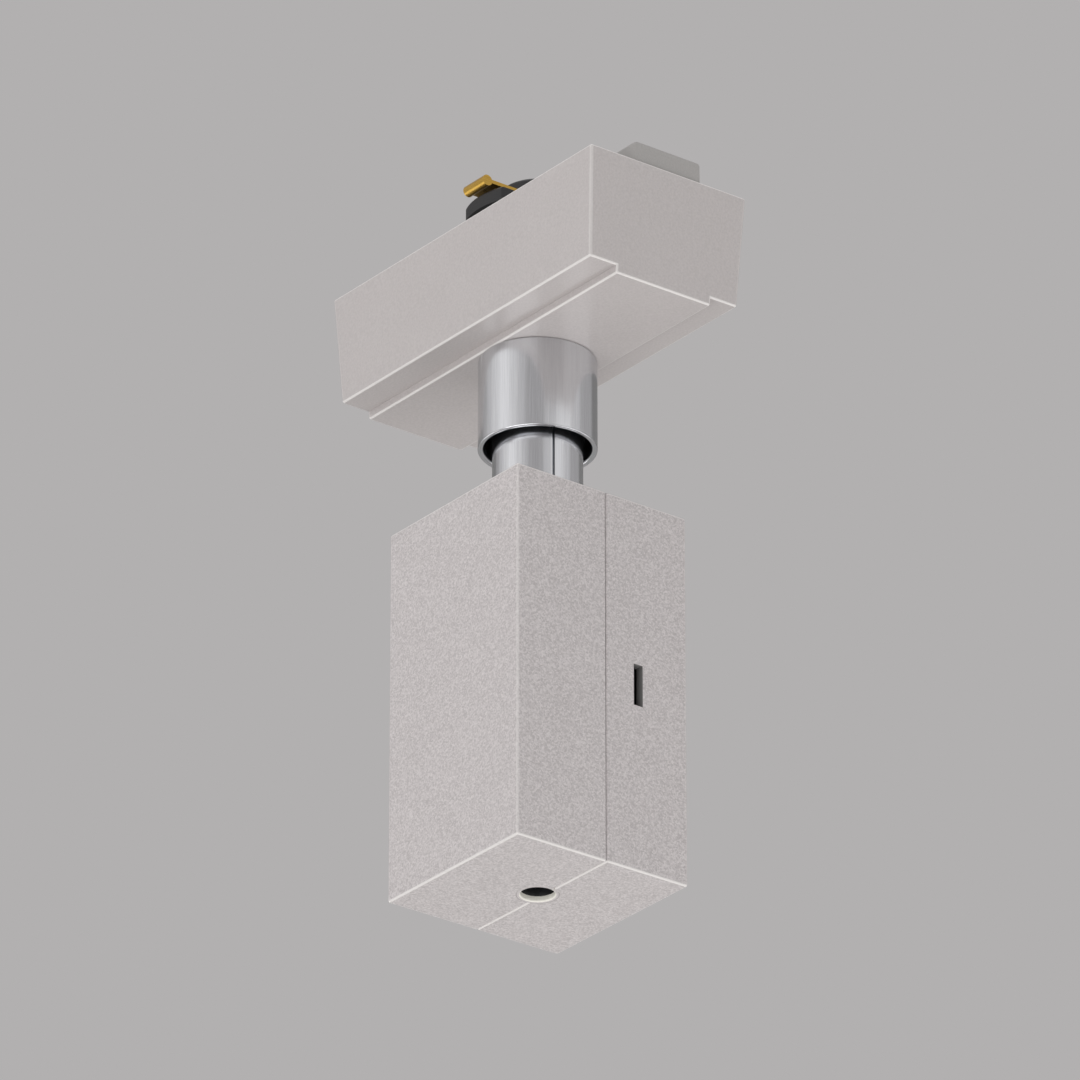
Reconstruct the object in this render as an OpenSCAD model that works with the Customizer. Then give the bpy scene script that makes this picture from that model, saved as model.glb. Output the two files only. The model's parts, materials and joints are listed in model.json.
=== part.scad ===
// Track adapter for a pendant lamp: a tapered head with a turning lock, a swivel stem and a wiring box.
// Millimetres. +Z is up and +X runs along the head. The origin is the centre of the head's top rim.

/* [Slot] */
// Width of the slot that the tongue enters
slot_w = 13.3; // [12.5:0.1:15]
// Thickness of the lips on either side of the slot
lip_t = 3.2; // [2.4:0.1:4]
// Distance between the conductor faces above the slot
channel_w = 25; // [23:0.5:30]

/* [Head] */
// Length of the head at its top rim
head_l = 65.6; // [60:0.2:90]
// Width of the head at its top rim
head_w = 29.8; // [28:0.2:36]
// Height from the top rim to the side strips of the underside
head_h = 18.2; // [17:0.2:26]
// Inward slope of each end over the height
end_taper = 1.4; // [0:0.1:2.5]
// Inward slope of each long side over the height
side_taper = 0.8; // [0:0.1:1.5]
// Thickness of the walls
head_wall = 1.8; // [1.2:0.1:2.4]
// Thickness of the floor beside the keel
head_floor = 2; // [1.4:0.1:3]
// Width of the keel along the underside
keel_w = 18; // [14:0.5:24]
// Height of the keel below the side strips
keel_h = 1.3; // [0.6:0.1:2]

/* [Contact carrier] */
// Play of the tongue in the slot, on each side
tongue_play = 0.35; // [0.2:0.05:0.6]
// Height of the tongue above the lips of the slot
tongue_over = 0.2; // [0.1:0.1:1]
// Distance of the tongue's ends from the ends of the head
tongue_inset = 0.4; // [0.2:0.1:3]
// Chamfer on the tongue's upper edges
tongue_chamfer = 0.5; // [0.2:0.1:1]
// Thickness of the plate that closes the head
plate_t = 2.2; // [1.8:0.1:3]
// Radius of the plate's corners
plate_edge_r = 0.4; // [0.2:0.1:0.8]
// Distance of the plate below the top rim
plate_drop = 0.3; // [0:0.1:1]
// Distance of the carrier screws from the head's ends
screw_from_end = 5.8; // [5:0.1:9]
// Distance of the carrier screws from the head's sides
screw_from_side = 5.3; // [4.8:0.1:6]
// Shank diameter of the screws
screw_d = 2; // [1.6:0.1:2.4]
// Head diameter of the screws
screw_head_d = 4; // [3.4:0.1:4.4]
// Width of the drive slots in the screws
drive_w = 0.5; // [0.3:0.1:0.7]
// Depth of the drive slots in the screws
drive_d = 0.6; // [0.4:0.1:0.8]
// Length of the carrier screws
carrier_screw_l = 9; // [6:0.5:11]
// Wall of a screw post around its bore
post_wall = 1.3; // [1:0.1:1.8]

/* [Lock] */
// Diameter of the rotor's shaft
shaft_d = 9; // [8:0.1:10]
// Diameter of the passage for the leads through the rotor
lead_bore_d = 5.4; // [5.2:0.1:6]
// Diameter of the rotor's core above the tongue
core_d = 12; // [11:0.1:12.4]
// Height of the rotor above the tongue
core_h = 6; // [5:0.1:8]
// Distance of the wing tips from the axis
wing_reach = 11.4; // [9:0.1:12]
// Width of the wings
wing_w = 9; // [7:0.1:10]
// Thickness of the wings
wing_t = 2.4; // [1.8:0.1:3]
// Thickness of the lever
lever_t = 2.8; // [2:0.1:3.4]
// Width of the lever
lever_w = 6; // [4:0.1:7]
// Diameter of the lever's hub
hub_d = 15; // [13:0.5:17]
// How far the locked lever stands out of the head's side
lever_stand_out = 2; // [1:0.1:4]
// Thickness of the retaining clip under the lever
clip_t = 0.7; // [0.5:0.1:1]
// Depth of the flat on the shaft that turns the lever
flat_cut = 0.7; // [0.4:0.1:1]

/* [Contacts] */
// Thickness of the contact strips
strip_t = 0.6; // [0.4:0.1:0.8]
// Width of the live and neutral contacts
contact_w = 5; // [4:0.1:6]
// Height of the live and neutral contacts above the wings
contact_rise = 1.2; // [0.8:0.1:1.6]
// Radius of the rounded nose of a contact
nose_r = 0.9; // [0.6:0.1:1]
// Width of the tail of a contact
tail_w = 1.6; // [1.2:0.1:2]
// Length of the tail of a contact
tail_h = 2.4; // [1.5:0.1:3]
// Width of the earth strip
earth_w = 6; // [4:0.1:7]
// Distance of the earth strip's upright from the axis
earth_x = 20; // [17:0.5:22]
// How far the earth contact presses past the edge of the slot
earth_press = 0.25; // [0.1:0.05:0.5]
// Height of the earth contact in the slot
earth_head_h = 2; // [1.2:0.1:2.2]
// Width of the tab for the earth lead
tab_w = 3; // [2:0.1:4]

/* [Stem] */
// Diameter of the hollow threaded stem
stem_d = 8; // [7.4:0.1:8.6]
// Diameter of the passage through the stem
stem_bore_d = 5.2; // [4.8:0.1:5.6]
// Height of the nut that holds the stem in the head
stem_nut_h = 2.5; // [2:0.1:4]
// Width across the flats of the nuts
nut_flats = 13; // [12:0.1:13.2]
// Thickness of the metal washers
washer_t = 0.8; // [0.6:0.1:1.2]
// Diameter of the washers
washer_d = 15; // [13.5:0.5:15.4]
// Height of the retaining nut at the foot of the stem
foot_nut_h = 4; // [3:0.1:5]
// Thread that stands out of the end nuts
stem_over = 0.6; // [0.4:0.1:1]

/* [Collar] */
// Height of the collar
collar_h = 15; // [13:0.5:24]
// Thickness of the collar's wall
collar_wall = 0.9; // [0.7:0.1:1.4]
// Width of the ring-shaped recess between collar and neck
collar_recess = 1.3; // [1.1:0.1:2]
// Thickness of the collar's closed end
collar_end_t = 2; // [1.4:0.1:3]
// Chamfer on the rim of the collar
collar_chamfer = 0.25; // [0.1:0.05:0.35]
// Height of the nut inside the collar
collar_nut_h = 2.6; // [2:0.1:4]

/* [Neck] */
// Outer diameter of the neck
neck_d = 13.9; // [13.4:0.1:15]
// Length of the neck between the collar and the box
neck_show = 12.9; // [6:0.1:25]
// Thickness of the rolled sleeve around the neck
sleeve_t = 0.6; // [0.4:0.1:0.8]
// Width of the butt seam in the sleeve
sleeve_seam_w = 0.3; // [0.2:0.05:0.5]
// Direction in which the butt seam faces, in degrees from +X
sleeve_seam_at = -17; // [-180:1:180]
// Width of the square flange at the neck's lower end
flange_w = 17; // [16:0.1:18]
// Thickness of the flange
flange_t = 2; // [1.4:0.1:3]
// Thickness of the plastic washer on top of the neck
glide_t = 0.8; // [0.5:0.1:1.2]

/* [Wiring box] */
// Width and depth of the box
box_w = 32; // [30:0.2:40]
// Height of the box
box_h = 61; // [58:0.5:80]
// Thickness of the box's walls
box_wall = 1.5; // [1.2:0.1:2]
// Radius of the upright edges of the box
box_edge_r = 0.6; // [0.4:0.1:1.2]
// Distance of the seam between the shells from the middle
seam_y = 0.7; // [-1:0.1:1]
// Depth of the lip that centres the shells on each other
lip_d = 1; // [0.6:0.1:1.5]
// Thickness of the deck under the flange
deck_t = 1.6; // [1.2:0.1:2.4]
// Thickness of the ribs inside the box
rib_t = 1.4; // [1:0.1:2]
// Width of a latch window
window_w = 1.7; // [1.4:0.1:3]
// Height of a latch window
window_h = 6.8; // [5:0.1:9]
// Distance of the latch windows from the seam
window_from_seam = 5.2; // [4:0.1:8]
// Thickness of the latch arms
arm_t = 1.2; // [1:0.1:1.6]
// How far a latch barb reaches into the wall
barb_d = 0.8; // [0.5:0.1:1.1]
// Length of the root of a latch arm
arm_root = 6; // [4:0.5:8]
// Thickness of the stop washer
stop_t = 1; // [0.8:0.1:1.5]
// Distance of the stop tab's tip from the axis
stop_reach = 11.4; // [10.5:0.1:12]
// Width of the stop tab and of the stop rib
stop_w = 2.4; // [2:0.1:4]
// How far the stop tab and the stop rib reach past each other
stop_overlap = 1.7; // [1:0.1:2.5]

/* [Terminal block] */
// Distance between the poles
pole_pitch = 7.4; // [6.8:0.1:7.8]
// Depth of the block
block_d = 12; // [10:0.1:13]
// Height of the block
block_h = 16; // [14:0.1:17]
// Distance of the block behind the middle of the box
block_back = 1; // [0:0.1:2]
// Distance between the stem and the block
fan_h = 13; // [10:0.5:15]
// Outer diameter of the terminal tubes
tube_d = 5; // [4.4:0.1:5.4]
// Bore of the terminal tubes
tube_bore_d = 3.2; // [2.6:0.1:3.4]
// Diameter of the terminal screws
clamp_screw_d = 2.4; // [2:0.1:2.6]
// Distance of the terminal screws from the ends of the block
clamp_from_end = 4; // [3:0.1:5]
// Distance of the terminal screws below the face of the block
clamp_recess = 0.8; // [0.3:0.1:1.5]
// Distance of the terminal tubes from the ends of the block
tube_inset = 1; // [0.5:0.1:2]
// Width of the grooves between the poles
groove_w = 1.3; // [0.8:0.1:1.6]
// Depth of the grooves between the poles
groove_depth = 2.4; // [1:0.1:4]

/* [Leads] */
// Diameter of an insulated lead
lead_d = 1.6; // [1.2:0.1:1.7]
// Distance of the leads from the axis, inside the stem
lead_orbit = 1.35; // [1.2:0.05:1.4]
// Bend radius of the earth lead above the stem
lead_bend_r = 2; // [1.8:0.1:2.4]
// Length of a lead inside its pole
lead_entry = 5; // [2:0.1:6]

/* [Cord entry] */
// Bore of the bush in the floor of the box
bush_bore_d = 5.2; // [4.6:0.1:6.5]
// Wall of the bush
bush_wall = 0.6; // [0.5:0.1:1]
// Thickness of the bush's flange
bush_flange_t = 1.2; // [0.8:0.1:2]
// Width of the bush's flange around its barrel
bush_flange_w = 1.2; // [0.8:0.1:2]
// Bore that the clamp leaves for the cord
grip_d = 4.8; // [4.4:0.1:6]
// Height of the cord clamp above the underside of the box
clamp_z = 9; // [8:0.1:10]
// Height of the clamp bar
bar_h = 6; // [5:0.1:7]
// Thickness of the clamp bar
bar_t = 4; // [3.6:0.1:5]
// Distance between the clamp screws
clamp_pitch = 13.6; // [12.5:0.1:16]
// Gap between the clamp bar and its saddle
bar_gap = 2.4; // [1.6:0.1:3]
// Length of the clamp screws
bar_screw_l = 9.4; // [8:0.1:11]
// Height of the clamp screws' heads
pan_h = 1.6; // [1.2:0.1:2]

/* [Fits] */
// Radial play of turning pieces
run_play = 0.05; // [0.02:0.01:0.08]
// Play of pieces that sit in each other
fit_play = 0.05; // [0.02:0.01:0.1]
// Clear space beside pieces that move
free_gap = 0.3; // [0.2:0.05:0.5]

/* [Hidden] */
$fn = 64;

// Colours
grey_paint = "#bdb7b5";
grey_moulding = "#a9a6a4";
black_moulding = "#2b2b2d";
pale_moulding = "#e4e1d8";
bright_plate = "#c9cacc";
zinc_plate = "#a7abb0";
brass = "#c9a24b";
copper = "#b87a4e";
brown_lead = "#6b4026";
blue_lead = "#2f5fa8";
green_lead = "#4f8f3a";

// Overshoot of cuts, and overlap of what is moulded together
cut = 1;
weld = 0.2;

// Slopes of the head's sides
end_slope = end_taper / head_h;
side_slope = side_taper / head_h;

// Levels from the slot downwards
tongue_h = lip_t + tongue_over;
plate_z = -plate_drop - plate_t;
lever_z = plate_z - free_gap - lever_t;
clip_z = lever_z - fit_play - clip_t;
shaft_end = clip_z - fit_play - clip_t;
floor_z = -(head_h - head_floor);
keel_z = -(head_h + keel_h);
stem_top = floor_z + washer_t + strip_t + stem_nut_h + stem_over;
collar_end = keel_z - collar_h;
collar_roof = keel_z - collar_end_t;
neck_top = collar_roof - collar_nut_h - glide_t - run_play;
box_top = collar_end - neck_show;
box_end = box_top - box_h;
flange_z = box_top - box_wall - flange_t;
deck_z = flange_z - fit_play - deck_t;
stop_z = deck_z - free_gap - stop_t;
stem_end = stop_z - foot_nut_h - stem_over;
block_z = stem_end - fan_h - block_h;

// Carrier
tongue_w = slot_w - 2 * tongue_play;
tongue_l = head_l - 2 * tongue_inset;
plate_inset = head_wall + 2 * fit_play;
plate_l = head_l - 2 * plate_inset + 2 * end_slope * plate_z;
plate_w = head_w - 2 * plate_inset + 2 * side_slope * plate_z;
screw_x = head_l / 2 - screw_from_end;
screw_y = head_w / 2 - screw_from_side;
screw_places = [for (x = [-1, 1], y = [-1, 1]) [x * screw_x, y * screw_y]];
screw_cone_h = (screw_head_d - screw_d) / 2;
screw_bore_d = screw_d + 2 * fit_play;
post_d = screw_bore_d + 2 * post_wall;

// Lock; the locked lever points back and out, midway between -X and +Y
rotor_z = tongue_h + free_gap / 2;
blade_z = rotor_z + wing_t + contact_rise;
groove_d = shaft_d - 2 * clip_t;
shaft_flat = shaft_d / 2 - flat_cut;
lever_at = 135;
lever_side = head_w / 2 + lever_stand_out;
lever_reach = lever_side * sqrt(2);
lever_window = head_w / 2 + lever_w / sqrt(2) + 2 * free_gap;

// Contacts
contact_reach = channel_w / 2;
tail_y = sqrt(pow(lead_bore_d / 2, 2) - pow(tail_w / 2, 2)) - fit_play;
earth_z = floor_z + washer_t;
earth_ring_d = stem_d + earth_w;
earth_head = slot_w / 2 + earth_press;
earth_head_z = (lip_t - earth_head_h) / 2;
earth_head_top = earth_head_z + earth_head_h;
lead_level = stem_top + lead_bend_r - fit_play;
tab_z = lead_level + lead_d / 2 + fit_play;

// Swivel
collar_d = neck_d + 2 * (collar_recess + collar_wall);
collar_bore_d = neck_d + 2 * collar_recess;
core_tube_d = neck_d - 2 * sleeve_t - 2 * fit_play;
running_bore_d = stem_d + 2 * run_play;
stem_hole_d = stem_d + 4 * fit_play;
deck_bore_d = washer_d + 2 * free_gap;

// Wiring box
room = box_w / 2 - box_wall;
seam_gap = fit_play;
seam_lip_t = box_wall / 2 - fit_play;
neck_hole_d = neck_d + 4 * fit_play;
mid_z = (box_top + box_end) / 2;
window_y = seam_y + window_from_seam;
arm_x = room - fit_play - arm_t;
arm_h = window_h - 2 * free_gap;
stop_rib_y = stop_reach - stop_overlap;

// Terminal block
poles = [-pole_pitch, 0, pole_pitch];
block_w = 3 * pole_pitch;
block_top = block_z + block_h;
block_front = -block_back - block_d / 2;
block_rear = -block_back + block_d / 2;
tube_h = block_h - 2 * tube_inset;
clamp_levels = [block_z + clamp_from_end, block_top - clamp_from_end];
ledge_x = pole_pitch + tube_d / 2;
ledge_w = block_w / 2 - ledge_x + weld;

// Cord entry
bush_d = bush_bore_d + 2 * bush_wall;
bush_hole_d = bush_d + 2 * fit_play;
bush_flange_d = bush_d + 2 * bush_flange_w;
bush_h = box_wall + bush_flange_t;
bar_z = box_end + clamp_z;
bar_y = bar_gap / 2;
bar_l = clamp_pitch + post_d;

// Leads
lead_sides = 8;
lead_steps = 6;
lead_top = blade_z - tail_h - fit_play;

// Rounded rectangle in the plane
module slab(l, w, r) {
    square([l - 2 * r, w], center = true);
    square([l, w - 2 * r], center = true);
    for (x = [-1, 1], y = [-1, 1])
        translate([x * (l / 2 - r), y * (w / 2 - r)])
            circle(r);
}

// Outline with two sloping sides, between the levels top and foot
function sloping_outline(half, slope, top, foot) = [
    [-half - slope * top, top],
    [half + slope * top, top],
    [half + slope * foot, foot],
    [-half - slope * foot, foot]
];

// Block with the head's sloping sides, set in from them, from the level top down to the level foot
module head_block(inset, top, foot) {
    intersection() {
        rotate([90, 0, 0])
            linear_extrude(2 * head_w, center = true)
                polygon(sloping_outline(head_l / 2 - inset, end_slope, top, foot));
        rotate([90, 0, 90])
            linear_extrude(2 * head_l, center = true)
                polygon(sloping_outline(head_w / 2 - inset, side_slope, top, foot));
    }
}

// Round bore along Z between two levels
module bore(d, from, to) {
    translate([0, 0, from])
        cylinder(d = d, h = to - from);
}

// Ring with a round hole
module ring(d, hole, h) {
    difference() {
        cylinder(d = d, h = h);
        bore(hole, -cut, h + cut);
    }
}

// Hexagon nut on the stem
module nut(h) {
    difference() {
        cylinder(d = nut_flats / cos(30), h = h, $fn = 6);
        bore(stem_d + 2 * fit_play, -cut, h + cut);
    }
}

// Tapered moulded head, open at the top
module adapter_housing() {
    color(grey_paint)
        difference() {
            union() {
                difference() {
                    head_block(0, 0, keel_z);
                    head_block(head_wall, cut, floor_z);
                    for (side = [-1, 1])
                        translate([0, side * (keel_w + head_w) / 2, -head_h - (keel_h + cut) / 2])
                            cube([head_l, head_w, keel_h + cut], center = true);
                }
                for (place = screw_places)
                    translate([place.x, place.y, floor_z - weld])
                        cylinder(d = post_d, h = plate_z - floor_z + weld);
            }
            bore(stem_hole_d, keel_z - cut, floor_z + cut);
            for (place = screw_places)
                translate([place.x, place.y, 0])
                    bore(screw_bore_d, -plate_drop - carrier_screw_l - cut, plate_z + cut);
            translate([-lever_window, 0, lever_z - free_gap])
                cube([2 * lever_window, head_w, lever_t + 2 * free_gap]);
        }
}

// Plate that closes the head, with the tongue that fills the slot
module contact_carrier() {
    color(grey_moulding)
        difference() {
            union() {
                translate([0, 0, plate_z])
                    linear_extrude(plate_t)
                        slab(plate_l, plate_w, plate_edge_r);
                rotate([90, 0, 90])
                    translate([0, 0, -tongue_l / 2])
                        linear_extrude(tongue_l)
                            polygon([
                                [-tongue_w / 2, -plate_drop - weld],
                                [tongue_w / 2, -plate_drop - weld],
                                [tongue_w / 2, tongue_h - tongue_chamfer],
                                [tongue_w / 2 - tongue_chamfer, tongue_h],
                                [-tongue_w / 2 + tongue_chamfer, tongue_h],
                                [-tongue_w / 2, tongue_h - tongue_chamfer]
                            ]);
            }
            for (side = [-1, 1])
                translate([side * (plate_l + head_l) / 2, 0, fit_play - plate_t / 2])
                    cube([head_l, slot_w, plate_t], center = true);
            bore(shaft_d + 2 * run_play, plate_z - cut, tongue_h + cut);
            for (place = screw_places)
                translate([place.x, place.y, 0]) {
                    bore(screw_bore_d, plate_z - cut, cut);
                    translate([0, 0, -plate_drop - screw_cone_h])
                        cylinder(d1 = screw_bore_d, d2 = screw_head_d + 2 * fit_play, h = screw_cone_h);
                }
            translate([earth_x - fit_play, -slot_w / 2, plate_z - cut])
                cube([strip_t + 2 * fit_play, slot_w, earth_head_top + fit_play - plate_z + cut]);
        }
}

// Countersunk screws between the carrier and the head
module carrier_screws() {
    color(zinc_plate)
        for (place = screw_places)
            translate([place.x, place.y, -plate_drop])
                difference() {
                    union() {
                        translate([0, 0, -carrier_screw_l])
                            cylinder(d = screw_d, h = carrier_screw_l);
                        translate([0, 0, -screw_cone_h])
                            cylinder(d1 = screw_d, d2 = screw_head_d, h = screw_cone_h);
                    }
                    for (turn = [0, 90])
                        rotate(turn)
                            cube([screw_d, drive_w, 2 * drive_d], center = true);
                }
}

// Earth strip: contact in the tongue, upright, foot ring under the stem nut and tab over the stem
module earth_contact() {
    color(copper) {
        difference() {
            union() {
                translate([0, 0, earth_z])
                    cylinder(d = earth_ring_d, h = strip_t);
                translate([0, -earth_w / 2, earth_z])
                    cube([earth_x + strip_t, earth_w, strip_t]);
                translate([earth_x, -earth_w / 2, earth_z])
                    cube([strip_t, earth_w, earth_head_top - earth_z]);
                translate([earth_x, -earth_head, earth_head_z])
                    cube([strip_t, 2 * earth_head, earth_head_top - earth_head_z]);
                translate([stem_bore_d / 2 + free_gap, -tab_w / 2, tab_z])
                    cube([earth_x - stem_bore_d / 2, tab_w, strip_t]);
            }
            bore(stem_hole_d, earth_z - cut, earth_z + strip_t + cut);
        }
    }
}

// Rotor: shaft through the tongue, core and wings that turn over the lips of the slot
module lock_rotor() {
    color(black_moulding)
        difference() {
            union() {
                bore(core_d, rotor_z, rotor_z + core_h);
                bore(shaft_d, shaft_end, rotor_z + weld);
                intersection() {
                    translate([-wing_w / 2, -wing_reach, rotor_z])
                        cube([wing_w, 2 * wing_reach, wing_t]);
                    bore(2 * wing_reach, rotor_z, rotor_z + wing_t);
                }
            }
            bore(lead_bore_d, shaft_end - cut, blade_z + strip_t + fit_play);
            translate([0, 0, blade_z + strip_t / 2])
                cube([contact_w + 2 * fit_play, 2 * core_d, strip_t + 2 * fit_play], center = true);
            difference() {
                bore(shaft_d + cut, clip_z - fit_play, clip_z + clip_t + fit_play);
                bore(groove_d, clip_z - cut, clip_z + clip_t + cut);
            }
            translate([shaft_flat, -shaft_d, shaft_end - cut])
                cube([shaft_d, 2 * shaft_d, plate_z - free_gap - shaft_end + cut]);
        }
}

// Lever on the rotor's shaft, which reaches out through the window in the head's side
module lock_lever() {
    color(black_moulding)
        translate([0, 0, lever_z])
            difference() {
                union() {
                    cylinder(d = hub_d, h = lever_t);
                    intersection() {
                        rotate(lever_at)
                            translate([0, -lever_w / 2, 0])
                                cube([lever_reach, lever_w, lever_t]);
                        translate([-lever_reach, 0, 0])
                            cube([2 * lever_reach, lever_side, lever_t]);
                    }
                }
                difference() {
                    bore(shaft_d + 2 * fit_play, -cut, lever_t + cut);
                    translate([shaft_flat + fit_play, -shaft_d, -cut])
                        cube([shaft_d, 2 * shaft_d, lever_t + 2 * cut]);
                }
            }
}

// Open spring ring that keeps the lever on the shaft
module lever_clip() {
    color(zinc_plate)
        translate([0, 0, clip_z])
            difference() {
                ring(shaft_d + 4 * clip_t, groove_d + 2 * fit_play, clip_t);
                translate([-shaft_d, -groove_d / 4, -cut])
                    cube([shaft_d, groove_d / 2, clip_t + 2 * cut]);
            }
}

// Contact blade with a rounded nose and a tail for its lead; side is 0 towards +Y and 1 towards -Y
module contact(side) {
    color(brass)
        mirror([0, side, 0]) {
            translate([-contact_w / 2, tail_y - strip_t, blade_z])
                cube([contact_w, contact_reach - nose_r - tail_y + strip_t, strip_t]);
            translate([-tail_w / 2, tail_y - strip_t, blade_z - tail_h])
                cube([tail_w, strip_t, tail_h + weld]);
            translate([-contact_w / 2, contact_reach - nose_r, blade_z + strip_t / 2])
                rotate([0, 90, 0])
                    cylinder(r = nose_r, h = contact_w);
        }
}

module contact_live() {
    contact(0);
}

module contact_neutral() {
    contact(1);
}

// Hollow threaded stem from the head into the box
module stem_nipple() {
    color(zinc_plate)
        translate([0, 0, stem_end])
            ring(stem_d, stem_bore_d, stem_top - stem_end);
}

module stem_washer() {
    color(zinc_plate)
        translate([0, 0, floor_z])
            ring(washer_d, stem_hole_d, washer_t);
}

module stem_nut() {
    color(zinc_plate)
        translate([0, 0, earth_z + strip_t])
            nut(stem_nut_h);
}

// Plated cup under the head
module collar() {
    color(bright_plate)
        rotate_extrude()
            polygon([
                [stem_hole_d / 2, keel_z],
                [collar_d / 2, keel_z],
                [collar_d / 2, collar_end + collar_chamfer],
                [collar_d / 2 - collar_chamfer, collar_end],
                [collar_bore_d / 2 + collar_chamfer, collar_end],
                [collar_bore_d / 2, collar_end + collar_chamfer],
                [collar_bore_d / 2, collar_roof],
                [stem_hole_d / 2, collar_roof]
            ]);
}

module collar_nut() {
    color(zinc_plate)
        translate([0, 0, collar_roof - collar_nut_h])
            nut(collar_nut_h);
}

// Plastic washer on which the neck glides under the collar
module upper_washer() {
    color(pale_moulding)
        translate([0, 0, collar_roof - collar_nut_h - glide_t])
            ring(neck_d, stem_hole_d, glide_t);
}

// Turning tube on the stem, with the flange that carries the box
module swivel_tube() {
    color(zinc_plate)
        difference() {
            union() {
                bore(core_tube_d, flange_z, neck_top);
                translate([0, 0, flange_z])
                    linear_extrude(flange_t)
                        slab(flange_w, flange_w, 2 * box_edge_r);
            }
            bore(running_bore_d, flange_z - cut, neck_top + cut);
        }
}

// Rolled sleeve around the turning tube, with its butt seam
module neck_sleeve() {
    color(bright_plate)
        difference() {
            translate([0, 0, flange_z + flange_t])
                ring(neck_d, neck_d - 2 * sleeve_t, neck_top - flange_z - flange_t);
            rotate(sleeve_seam_at)
                translate([0, -sleeve_seam_w / 2, flange_z])
                    cube([neck_d, sleeve_seam_w, neck_top - flange_z + cut]);
        }
}

// Plastic washer under the flange, inside the deck
module friction_washer() {
    color(pale_moulding)
        translate([0, 0, stop_z + stop_t])
            ring(washer_d, stem_hole_d, flange_z - run_play - stop_z - stop_t);
}

// Washer with a tab that meets the stop rib at the ends of the turn
module stop_washer() {
    color(zinc_plate)
        translate([0, 0, stop_z])
            difference() {
                union() {
                    cylinder(d = washer_d, h = stop_t);
                    translate([-stop_w / 2, 0, 0])
                        cube([stop_w, stop_reach, stop_t]);
                }
                bore(stem_hole_d, -cut, stop_t + cut);
            }
}

module retaining_nut() {
    color(zinc_plate)
        translate([0, 0, stop_z - foot_nut_h])
            nut(foot_nut_h);
}

// Walls of the box between two planes across Y
module box_walls(near, far) {
    intersection() {
        difference() {
            translate([0, 0, box_end])
                linear_extrude(box_h)
                    slab(box_w, box_w, box_edge_r);
            translate([-room, -room, box_end + box_wall])
                cube([2 * room, 2 * room, box_h - 2 * box_wall]);
        }
        translate([-box_w, near, box_end - cut])
            cube([2 * box_w, far - near, box_h + 2 * cut]);
    }
}

// Deck under the flange and the two ribs beside the flange, between two planes across Y
module flange_seat(near, far) {
    translate([-room - weld, near, deck_z])
        cube([2 * (room + weld), far - near, deck_t]);
    for (side = [-1, 1])
        translate([side * (flange_w / 2 + fit_play + rib_t / 2), (near + far) / 2, flange_z + flange_t / 2])
            cube([rib_t, far - near, flange_t + 2 * weld], center = true);
}

// Passages for the neck, the washers and the bush
module box_passages() {
    bore(neck_hole_d, box_top - box_wall - weld, box_top + cut);
    bore(deck_bore_d, deck_z - cut, flange_z - fit_play / 2);
    bore(bush_hole_d, box_end - cut, box_end + box_wall + cut);
}

// Frame of the seam lip, as deep as asked, set in from the box's outside
module seam_frame(inset, depth) {
    size = box_w - 2 * inset;
    difference() {
        translate([-size / 2, seam_y - weld, box_end + inset])
            cube([size, depth + weld, box_h - 2 * inset]);
        translate([-room, seam_y - cut, box_end + box_wall])
            cube([2 * room, depth + 2 * cut, box_h - 2 * box_wall]);
    }
}

// Latch arm of the front shell, with the barb behind the window's edge
module latch_arm() {
    translate([arm_x, seam_y - arm_root, mid_z - arm_h / 2]) {
        cube([arm_t, arm_root + window_from_seam + window_w - free_gap, arm_h]);
        cube([room - arm_x + weld, arm_root - weld, arm_h]);
        translate([arm_t - weld, arm_root + window_from_seam + fit_play, 0])
            linear_extrude(arm_h)
                polygon([
                    [0, 0],
                    [barb_d + fit_play + weld, 0],
                    [barb_d + fit_play + weld, barb_d / 2],
                    [0, window_w - free_gap - fit_play]
                ]);
    }
}

// Near half of the box, which carries the terminal block and the cord clamp
module front_shell() {
    back = -box_w / 2 + box_wall - weld;
    color(grey_paint)
        difference() {
            union() {
                box_walls(-box_w, seam_y);
                flange_seat(back, seam_y);
                seam_frame(box_wall - seam_lip_t, lip_d);
                for (side = [0, 1])
                    mirror([side, 0, 0])
                        latch_arm();
                translate([-stop_w / 2, back, stop_z - weld])
                    cube([stop_w, -stop_rib_y - back, deck_z - stop_z + 2 * weld]);
                for (side = [-1, 1]) {
                    translate([side * pole_pitch / 2 - rib_t / 2, back, block_z])
                        cube([rib_t, block_front - back, block_h]);
                    translate([side * (ledge_x + ledge_w / 2), (back + block_rear) / 2, block_z - rib_t / 2])
                        cube([ledge_w, block_rear - back, rib_t], center = true);
                    translate([side * clamp_pitch / 2, back, bar_z])
                        rotate([-90, 0, 0])
                            cylinder(d = post_d, h = bar_y - back);
                }
                translate([-grip_d, back, bar_z - rib_t])
                    cube([2 * grip_d, -bar_y - back, 2 * rib_t]);
            }
            box_passages();
            bore(grip_d, bar_z - bar_h, bar_z + bar_h);
            for (side = [-1, 1])
                translate([side * clamp_pitch / 2, bar_y + bar_t - bar_screw_l - free_gap, bar_z])
                    rotate([-90, 0, 0])
                        cylinder(d = screw_bore_d, h = bar_screw_l);
        }
}

// Far half of the box, with the latch windows
module back_shell() {
    wall = box_w / 2 - box_wall + weld;
    color(grey_paint)
        difference() {
            union() {
                box_walls(seam_y + seam_gap, box_w);
                flange_seat(seam_y + seam_gap, wall);
                for (side = [-1, 1])
                    translate([side * pole_pitch / 2 - rib_t / 2, block_rear, block_z])
                        cube([rib_t, wall - block_rear, block_h]);
            }
            box_passages();
            seam_frame(box_wall / 2, lip_d + fit_play);
            translate([-box_w, window_y, mid_z - window_h / 2])
                cube([2 * box_w, window_w, window_h]);
        }
}

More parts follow.
